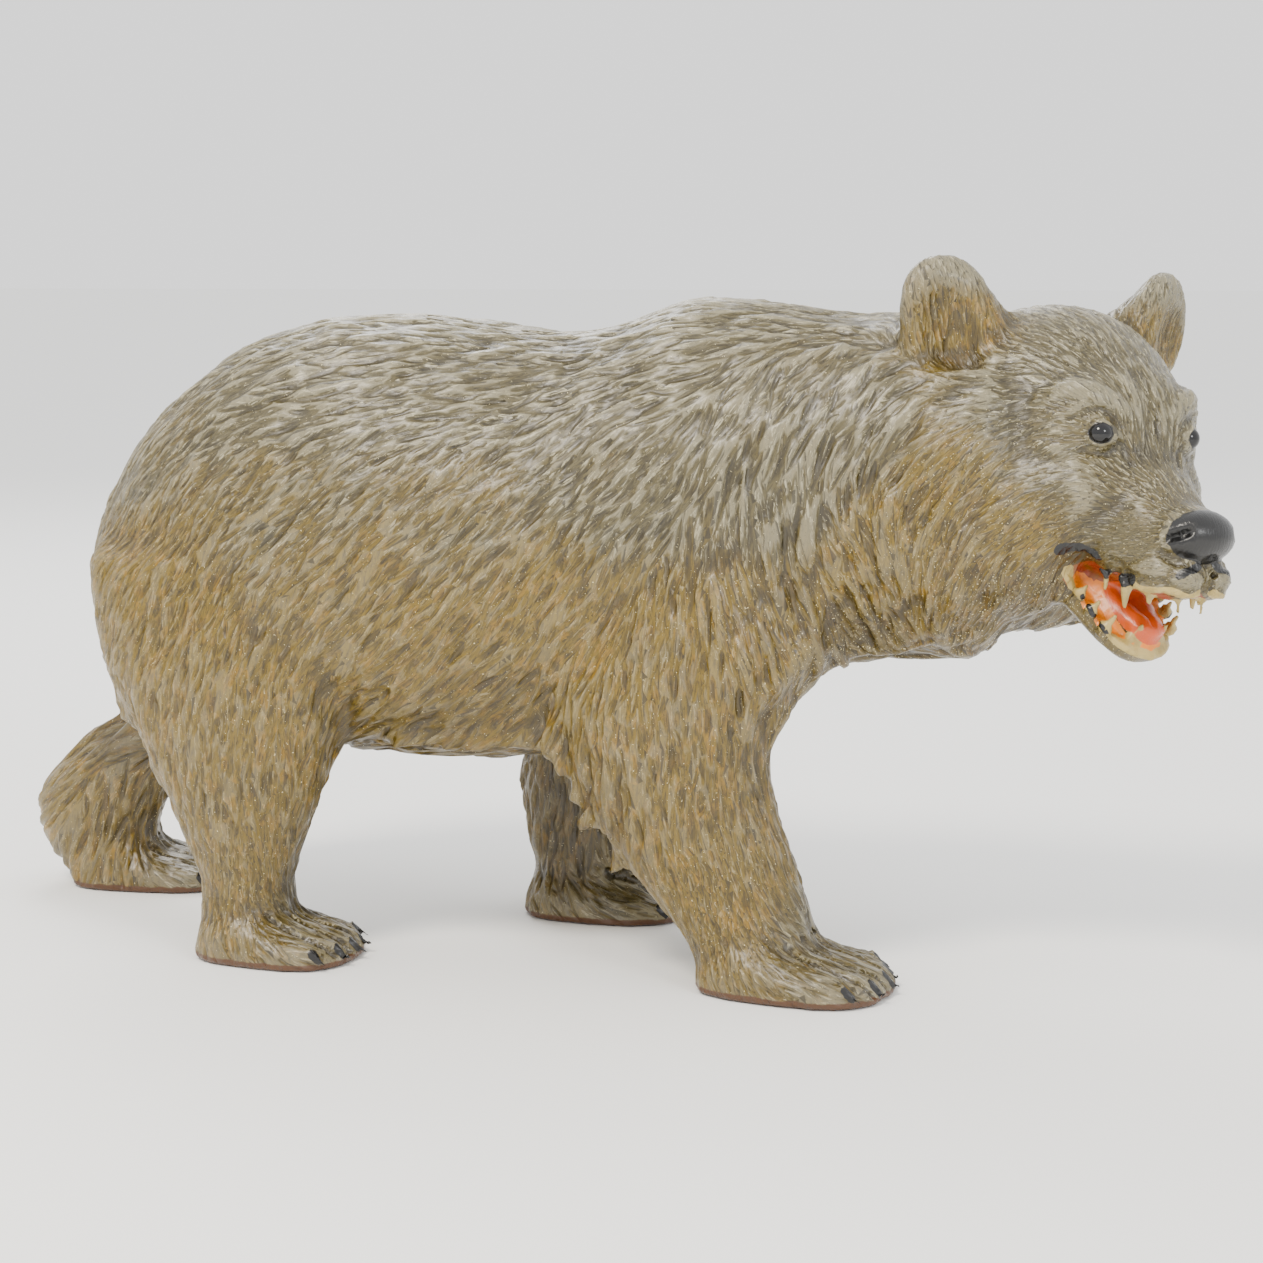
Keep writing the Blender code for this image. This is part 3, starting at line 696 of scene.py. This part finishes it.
def chooseCuts(points, normals, rng, roundNumber):
    longBy, wideBy, deepBy, count = carving["rounds"][roundNumber]
    ways, values = blendedCoat(points, normals)
    keep = keepSmooth(points)
    inLocks = values[:, 3] > 0.5
    want = keep / (values[:, 0] * values[:, 1]) * np.where(inLocks, carving["lockMore"][roundNumber], 1)
    picks = rng.choice(len(points), count, replace=False, p=want / want.sum())
    cuts = []
    for i in picks:
        stray = rng.normal(0, carving["stray"])
        across = np.cross(normals[i], ways[i])
        way = ways[i] * math.cos(stray) + across * math.sin(stray)
        size = 1 + carving["spread"] * rng.uniform(-1, 1, 3)
        if inLocks[i]:
            size = size * carving["lockRound"][roundNumber]
        cuts.append({"at": points[i], "up": normals[i], "way": way, "across": np.cross(normals[i], way),
                     "halfLong": values[i, 0] * longBy * size[0] * mm,
                     "halfWide": values[i, 1] * wideBy * size[1] * mm,
                     "deep": values[i, 2] * deepBy * size[2] * keep[i] * mm,
                     "lock": inLocks[i] and roundNumber == 0, "chance": rng.uniform()})
    return cuts


def carve(form, cuts):
    points = verticesOf(form.data, "co")
    normals = verticesOf(form.data, "normal")
    tree = treeOf(points)
    keep = keepSmooth(points)
    cutIn = np.zeros(len(points))
    standOut = np.zeros(len(points))
    for cut in cuts:
        near = np.array([j for co, j, gap in tree.find_range(cut["at"], cut["halfLong"])])
        if not len(near):
            continue
        scoop = scoopOf(cut, points[near] - cut["at"]) * (normals[near] @ cut["up"] > carving["facing"])
        side = standOut if cut["lock"] else cutIn
        side[near] = np.maximum(side[near], scoop)
    lifted = standOut - cutIn
    moveVertices(form.data, points + normals * (lifted * keep)[:, None])


thinning = {
    "middle": (90, 0, -50),     # of the part that is kept finest, in the head's frame
    "full": 1.7,                # its weight there, before that is held to 1
    "fade": 100,                # shares over which the weight falls by 1
    "steps": 4,
    "headRadius": 200,          # shares round the head's origin that are counted as the head
}


def thinned(form):
    # fewer triangles, with more of them kept on the head
    mesh = form.data
    local = inFrame(verticesOf(mesh, "co"), headFrame)
    gap = np.linalg.norm(local - np.array(thinning["middle"]), axis=1)
    weights = np.clip(thinning["full"] - gap / thinning["fade"], 0, 1)
    group = form.vertex_groups.new(name="head")
    steps = thinning["steps"]
    for level in range(1, steps + 1):
        chosen = np.nonzero(np.ceil(weights * steps) == level)[0]
        # the weight stays below 1, because a vertex of full weight is never thinned
        group.add(chosen.tolist(), level / (steps + 1), "REPLACE")
    fewer = form.modifiers.new("fewer", "DECIMATE")
    fewer.ratio = formWork["triangles"] / sum(len(p.vertices) - 2 for p in mesh.polygons)
    fewer.vertex_group = "head"
    fewer.invert_vertex_group = True
    fewer.vertex_group_factor = formWork["headKept"]
    fewer.use_collapse_triangulate = True
    applied(form)
    form.vertex_groups.clear()
    local = inFrame(verticesOf(form.data, "co"), headFrame)
    onHead = np.linalg.norm(local, axis=1) < thinning["headRadius"]
    report("thinned to %d triangles, %d%% on the head" % (len(form.data.polygons), 100 * onHead.mean()))


def keepAttribute(mesh, name, domain, values):
    layer = mesh.attributes.new(name, "FLOAT", domain)
    layer.data.foreach_set("value", np.asarray(values, np.float32))


def markCuts(form, cuts):
    # each triangle takes the cut that shaped it, and its corners their places in that cut
    mesh = form.data
    count = len(mesh.polygons)
    centres = np.empty(count * 3, np.float32)
    mesh.polygons.foreach_get("center", centres)
    centres = centres.reshape(-1, 3).astype(np.float64)
    facing = np.empty(count * 3, np.float32)
    mesh.polygons.foreach_get("normal", facing)
    facing = facing.reshape(-1, 3).astype(np.float64)
    tree = treeOf(centres)
    best = np.full(count, -1.0)
    winner = np.full(count, -1)
    for number, cut in enumerate(cuts):
        reach = cut["halfLong"] * carving["markReach"]
        near = np.array([j for co, j, gap in tree.find_range(cut["at"], reach)], int)
        if not len(near):
            continue
        depth = scoopOf(cut, centres[near] - cut["at"]) / mm
        depth[facing[near] @ cut["up"] < carving["markFacing"]] = -1
        better = depth > best[near]
        best[near[better]] = depth[better]
        winner[near[better]] = number
    corners = np.empty(count * 3, np.int32)
    mesh.loops.foreach_get("vertex_index", corners)
    points = verticesOf(mesh, "co")[corners]
    owner = np.repeat(winner, 3)
    lone = owner < 0
    table = {name: np.array([cut[name] for cut in cuts])[owner] for name in
             ("at", "way", "across", "halfLong", "halfWide", "chance")}
    apart = points - table["at"]
    along = np.einsum("ij,ij->i", apart, table["way"])
    across = np.einsum("ij,ij->i", apart, table["across"])
    chance = table["chance"]
    shiftAlong, shiftAcross = carving["hairShift"]
    inMm = np.stack([along / mm + shiftAlong * chance, across / mm + shiftAcross * chance], 1)
    inShare = np.stack([along / table["halfLong"], across / table["halfWide"]], 1)
    inShare[lone] = 0
    for name, values in (("gougeMm", inMm), ("gougeShare", inShare)):
        layer = mesh.uv_layers.new(name=name)
        layer.uv.foreach_set("vector", values.astype(np.float32).ravel())
    keepAttribute(mesh, "chance", "FACE", chance[::3])


# how often each vertex is averaged with its neighbours to find the level round it
hollowRounds = 4


def markHollows(form):
    # how far each vertex lies below its neighbourhood, in tenths of a mm, from which the colour paints
    # shade into hollows and highlight onto what stands proud
    mesh = form.data
    points = verticesOf(mesh, "co")
    normals = verticesOf(mesh, "normal")
    ends = np.empty(len(mesh.edges) * 2, np.int32)
    mesh.edges.foreach_get("vertices", ends)
    first, second = ends.reshape(-1, 2).T
    degree = np.bincount(ends, minlength=len(points))[:, None]
    smooth = points
    for turn in range(hollowRounds):
        sums =np.stack([np.bincount(first, smooth[second, k], len(points))
                         + np.bincount(second, smooth[first, k], len(points)) for k in range(3)], 1)
        smooth = sums / degree
    below = np.einsum("ij,ij->i", smooth - points, normals)
    keepAttribute(mesh, "hollow", "POINT", np.clip(below / (0.1 * mm), -9, 9))


# Bear: painted places, as fields that are above 0 inside, in shares. Balls are a middle and radii;
# lines are points and how far the paint reaches from them
paintBalls = {
    "black": [((171, 0, -69), (21, 32, 20)), ((101, 44, 1), (9.6, 9.6, 9.6))],
}
paintLines = {
    "black": [
        ("head", 3.4, [(186, 6, -86), (177, 23, -96)]),
        ("head", 5.5, [(96, 60, -92), (112, 56, -96), (126, 51, -100), (139, 46, -104)]),
        ("jaw", 2.2, [(40, 43, 12), (55, 40, 11), (70, 34, 9)]),
    ],
    "cream": [
        ("head", 4.5, [(184, 4, -117), (173, 26, -115), (157, 35, -116), (140, 40, -112), (124, 45, -108)]),
        ("jaw", 4.5, [(6, 46, 11), (30, 43, 14), (50, 39, 14), (68, 33, 12), (82, 24, 10), (91, 10, 8),
                      (92, 0, 8)]),
    ],
}
# on claws and teeth: where the paint starts along each, and how far it reaches from a claw's axis or
# over a tooth's side
hornPaint = {"clawFrom": -2, "clawReach": 4.6, "toothFrom": 1, "toothOver": 1.2}
# inside the mouth, in the jaw's frame and then in the head's: middle and radii
mouthPaint = {
    "floor": ((42, 0, 10), (60, 45, 30)),
    "tongue": ((48, 0, 16), (40, 22, 13)),
    "roof": ((112, 0, -112), (60, 44, 20)),
    "throat": ((88, 0, -108), (22, 54, 17)),
    "floorTo": 96,              # how far ahead in the jaw the floor's paint goes
    # shares that a field falls by from wood that faces into the mouth to wood that stands on edge,
    # and what is taken off it
    "turned": 20,
    "floorLess": 8,
    "roofLess": 10,
}


def ballField(local, centre, radii):
    gap = np.linalg.norm((local - np.array(centre)) / np.array(radii), axis=1)
    return (1 - gap) * min(radii)


def lineField(local, line, reach, onSkin=None):
    gap = np.full(len(local), np.inf)
    run = curveThrough(line, 4)
    if onSkin:
        run = [local[onSkin(spot)] for spot in run]
    for a, b in zip(run, run[1:]):
        step = b - a
        t = np.clip((local - a) @ step / max(step @ step, 0.01), 0, 1)
        gap = np.minimum(gap, np.linalg.norm(local - a - t[:, None] * step, axis=1))
    return reach - gap


def markPaint(form):
    mesh = form.data
    points = verticesOf(mesh, "co")
    normals = verticesOf(mesh, "normal")
    tree = treeOf(points)
    local = {"head": inFrame(points, headFrame), "jaw": inFrame(points, jawFrame)}
    jawUp = normals @ np.array(jawFrame.to_3x3().col[2])
    headDown = -normals @ np.array(headFrame.to_3x3().col[2])
    fields = {name: np.full(len(points), -9.0) for name in ("black", "cream", "red", "orange", "tongue")}
    for name, balls in paintBalls.items():
        for centre, radii in balls:
            for side in sidesOf([centre]):
                field = ballField(local["head"], mirrored(centre, side), radii)
                fields[name] = np.maximum(fields[name], field)
    for name, lines in paintLines.items():
        for frameName, reach, line in lines:
            for side in sidesOf(line):
                frameOf = headFrame if frameName == "head" else jawFrame
                field = lineField(local[frameName], [mirrored(s, side) for s in line], reach,
                                  lambda spot: tree.find(at(frameOf, *spot))[1])
                fields[name] = np.maximum(fields[name], field)
    for claw in clawFrames():
        inClaw = inFrame(points, claw)
        axis = [(hornPaint["clawFrom"], 0, 0), (toes["clawLength"], 0, 0)]
        field = lineField(inClaw, axis, hornPaint["clawReach"])
        fields["black"] = np.maximum(fields["black"], field)
    for frameOf, turn, row in ((headFrame, 90, teeth["upper"]), (jawFrame, -90, teeth["lower"])):
        for ahead, out, up, length, radius in row:
            for side in (-1, 1):
                horn = turnedFrame(frameOf, (ahead, side * out, up), 0, turn)
                axis = [(hornPaint["toothFrom"], 0, 0), (length, 0, 0)]
                field = lineField(inFrame(points, horn), axis, radius + hornPaint["toothOver"])
                fields["cream"] = np.maximum(fields["cream"], field)
    # the jaw's floor and the roof of the mouth, on what faces into the mouth
    jaw = local["jaw"]
    turned = mouthPaint["turned"]
    plate = np.minimum(ballField(jaw, *mouthPaint["floor"]), jawUp * turned - mouthPaint["floorLess"])
    fields["orange"] = np.minimum(plate, mouthPaint["floorTo"] - jaw[:, 0])
    fields["tongue"] = ballField(jaw, *mouthPaint["tongue"])
    head = local["head"]
    roof = np.minimum(ballField(head, *mouthPaint["roof"]), headDown * turned - mouthPaint["roofLess"])
    throat = ballField(head, *mouthPaint["throat"])
    fields["red"] = np.maximum(roof, throat)
    for name, field in fields.items():
        keepAttribute(mesh, name, "POINT", np.clip(field, -9, 9))


def markCoat(form):
    mesh = form.data
    ways, values = blendedCoat(verticesOf(mesh, "co"), verticesOf(mesh, "normal"))
    for name, column in (("silver", 4), ("ochre", 5), ("stain", 6), ("fleckGlint", 7)):
        keepAttribute(mesh, name, "POINT", values[:, column])


# Limewood gouged by hand, stained brown and silver, and varnished. Each cut shows painted shade in the
# crease along its deep side, a pale ridge of wiped stain and painted highlight on the other, and fine hairs
# between them
wood = {
    "silver": "554C2C",
    # pale of the ridges: stain wiped back, and painted highlight
    "paleWipeAndHighlight": "BDB598",
    "ochre": "6E5800",
    "orange": "8C6800",
    "brown": "4A3C0A",
    # dark of the hairs, the stain and the specks, and also painted shade in the creases and hollows
    "crease": "191204",
    # gold glitter specks, painted pale as glints
    "fleckGlint": "E0D2A0",
    "bare": "4E2E10",
    "hairMm": 0.45,             # width of the hairs in a cut
    "hairLong": 7,              # how many times longer than wide they are
    "cloudMm": 24,              # size of the patches of stain
    "blotchMm": 5,
    "speckMm": 0.9,             # size of the specks in the varnish
    "fleckMm": 0.6,
    "bareMm": 3.0,              # height of the bare rim above the sole
    "reliefMm": 0.3,            # depth of the hairs
}
# oil paint over the wood, in the order that it was laid on: colour, roughness, how far its edge is
# chipped and how much of the stain lies over it
paint = {
    "red": ("8A3216", 0.38, 2.0, 0.6),
    "orange": ("E07C04", 0.38, 1.5, 0.2),
    "cream": ("B29C5C", 0.45, 2.0, 0.45),
    "tongue": ("C84A08", 0.32, 0.8, 0.2),
    "black": ("0A0909", 0.3, 2.0, 0.0),
}


def carvedMaterial():
    material, nodes, shader = newMaterial("gouged limewood, stained and varnished")
    add = partial(addNode, nodes)
    ease = {"interpolation_type": "SMOOTHSTEP"}
    rgba = {"data_type": "RGBA"}
    times = {"operation": "MULTIPLY"}
    names = ("silver", "ochre", "stain", "fleckGlint", "chance", "hollow")
    mark = {name: add("Attribute", {}, "Fac", attribute_name=name) for name in names}
    place = add("TexCoord", {}, "Object")
    inMm = add("UVMap", {}, uv_map="gougeMm")
    inMm = add("Mapping", {"Vector": inMm, "Scale": (1 / wood["hairLong"], 1, 1)})
    across = add("SeparateXYZ", [add("UVMap", {}, uv_map="gougeShare")], "Y")
    # noises: where, size in the units of where, detail, roughness
    grains = {
        "cloud": (place, wood["cloudMm"] * mm, 4, 0.6),
        "blotch": (place, wood["blotchMm"] * mm, 3, 0.6),
        "speck": (place, wood["speckMm"] * mm, 2, 0.7),
        "gold": (place, wood["fleckMm"] * mm, 1, 0.5),
        "chip": (place, 2.4 * mm, 4, 0.7),
        "hair": (inMm, wood["hairMm"] * 1.8, 3, 0.7),
    }
    grain = {}
    for name, (where, size, detail, rough) in grains.items():
        inputs = {"Vector": where, "Scale": 1 / size, "Detail": detail, "Roughness": rough}
        grain[name] = add("TexNoise", inputs, "Fac")

    # stain by zone, broken by patches and by the luck of each cut
    luck = add("Math", [mark["chance"], 0.5, grain["cloud"]], operation="MULTIPLY_ADD")
    zone = {}
    for name, low, high in (("silver", 0.75, 1.6), ("ochre", 0.75, 1.5), ("stain", 1.0, 1.8)):
        zone[name] = add("MapRange", [add("Math", [mark[name], luck]), low, high], **ease)
    glow = add("Math", [mark["chance"], 0.35, grain["blotch"]], operation="MULTIPLY_ADD")
    glow = add("MapRange", [glow, 0.68, 0.86, 0.0, 0.7], **ease)

    # the ridge and the crease of each cut: a pale ridge, partly stain wiped back and partly painted
    # highlight, and painted shade in the crease
    strands = add("MapRange", [grain["hair"], 0.48, 0.60], **ease)
    ridge = add("MapRange", [across, 0.0, -0.8, 0.0, 0.75], **ease)
    ridge = add("Math", [ridge, strands], **times)
    # painted highlight on what stands proud of its neighbourhood
    proud = add("MapRange", [mark["hollow"], -1.0, -4.0, 0.0, 0.3], **ease)
    ridge = add("Math", [ridge, proud], operation="MAXIMUM")
    # how strong the painted highlight on the ridges is, more where the zone is silver
    shine = add("MapRange", [mark["silver"], 0.1, 0.9, 0.38, 0.95], **ease)
    ridge = add("Math", [ridge, shine], **times)
    # painted shade in the crease along the deep side of each cut and in the hollows of the mesh
    crease = add("MapRange", [across, 0.55, 1.0, 0.0, 0.7], **ease)
    deep = add("MapRange", [mark["hollow"], 0.8, 4.5, 0.0, 0.55], **ease)
    crease = add("Math", [crease, deep], operation="MAXIMUM")
    thread = add("MapRange", [grain["hair"], 0.56, 0.34, 0.0, 0.65], **ease)
    dirt = add("MapRange", [grain["speck"], 0.42, 0.30, 0.0, 0.4], **ease)
    stained = add("Math", [zone["stain"], 0.6], **times)
    # gold glitter specks, painted pale as glints in the colour
    gold = add("Math", [mark["fleckGlint"], 0.08, grain["gold"]], operation="MULTIPLY_ADD")
    gold = add("MapRange", [gold, 0.765, 0.79], **ease)
    height = add("SeparateXYZ", [place], "Z")
    height = add("Math", [grain["blotch"], 2 * mm, height], operation="MULTIPLY_ADD")
    rim = add("MapRange", [height, (wood["bareMm"] + 1.2) * mm, (wood["bareMm"] + 0.6) * mm], **ease)

    colour = add("Mix", {0: zone["ochre"], 6: wood["brown"], 7: wood["ochre"]}, 2, **rgba)
    # among the coats: painted highlight on the ridges, painted shade in the creases and hollows
    coats = [(glow, wood["orange"]), (zone["silver"], wood["silver"]), (thread, wood["crease"]),
             (ridge, wood["paleWipeAndHighlight"]), (stained, wood["crease"]), (crease, wood["crease"]),
             (dirt, wood["crease"]), (gold, wood["fleckGlint"]), (rim, wood["bare"])]
    for factor, shade in coats:
        colour = add("Mix", {0: factor, 6: colour, 7: shade}, 2, **rgba)
    roughness = add("MapRange", [grain["hair"], 0.3, 0.7, 0.26, 0.46])

    # paint, chipped back to the wood along its edges
    chips = add("Math", [grain["chip"], 0.5], operation="SUBTRACT")
    grime = add("MapRange", [grain["blotch"], 0.35, 0.7], **ease)
    for name, (shade, rough, chipped, worn) in paint.items():
        field = add("Attribute", {}, "Fac", attribute_name=name)
        field = add("Math", [chips, chipped, field], operation="MULTIPLY_ADD")
        inside = add("MapRange", [field, -0.2, 0.2], **ease)
        worn = add("Math", [grime, worn], **times)
        shade = add("Mix", {0: worn, 6: shade, 7: wood["ochre"]}, 2, **rgba)
        colour = add("Mix", {0: inside, 6: colour, 7: shade}, 2, **rgba)
        roughness = add("Mix", {0: inside, 2: roughness, 3: rough}, 0)
    # the hollow of each cut, which the mesh alone holds too coarsely, and the hairs in it
    hollowed = add("Math", [across, across], **times)
    hollowed = add("Math", [hollowed, 1.0], operation="MINIMUM")
    relief = add("Math", [grain["speck"], 0.3, grain["hair"]], operation="MULTIPLY_ADD")
    relief = add("Math", [hollowed, 1.2, relief], operation="MULTIPLY_ADD")
    bump = add("Bump", {"Strength": 0.7, "Distance": wood["reliefMm"] * mm, "Height": relief})
    for name, source in (("Base Color", colour), ("Roughness", roughness), ("Normal", bump)):
        material.node_tree.links.new(source, shader.inputs[name])
    shader.inputs["Coat Weight"].default_value = 0.25
    shader.inputs["Coat Roughness"].default_value = 0.22
    return material


def buildBear():
    bear = roundedForm()
    pareForm(bear)
    report("facets rounded, thighs pared")
    addFineMasses(bear)
    remesh(bear, formWork["fine"], formWork["fineRounds"])
    report("fine masses fused, %d faces" % len(bear.data.polygons))
    refineFace(bear)
    chiselForm(bear)
    report("face and toes chiselled, %d faces" % len(bear.data.polygons))
    rng = np.random.default_rng(carving["seed"])
    for roundNumber in range(len(carving["rounds"])):
        cuts = chooseCuts(verticesOf(bear.data, "co"), verticesOf(bear.data, "normal"), rng, roundNumber)
        carve(bear, cuts)
        report("%d cuts gouged" % len(cuts))
    thinned(bear)
    markCuts(bear, cuts)
    markHollows(bear)
    markCoat(bear)
    markPaint(bear)
    report("cuts, hollows and paint marked")
    bear.data.shade_smooth()
    bear.data.materials.clear()
    bear.data.materials.append(carvedMaterial())
    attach(bear, "root")
    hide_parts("bear")


def glassMaterial():
    # pressed black glass, polished
    material, nodes, shader = newMaterial("polished black glass")
    shader.inputs["Base Color"].default_value = linear("0B0B0D")
    shader.inputs["Roughness"].default_value = 0.05
    shader.inputs["IOR"].default_value = 1.52
    return material


def buildEyes():
    glass = glassMaterial()
    for node in ("eye_left", "eye_right"):
        low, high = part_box(node)
        bm = bmesh.new()
        bmesh.ops.create_uvsphere(bm, u_segments=48, v_segments=32, radius=(high - low).z / 2,
                                  matrix=Matrix.Translation((low + high) / 2))
        eye = meshObject("glass_" + node, bm)
        eye.data.shade_smooth()
        eye.data.materials.append(glass)
        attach(eye, "root")
        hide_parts(node)


addCamera()
addFloor()
addLights()
report("studio set")
buildBear()
buildEyes()
report("bear finished")
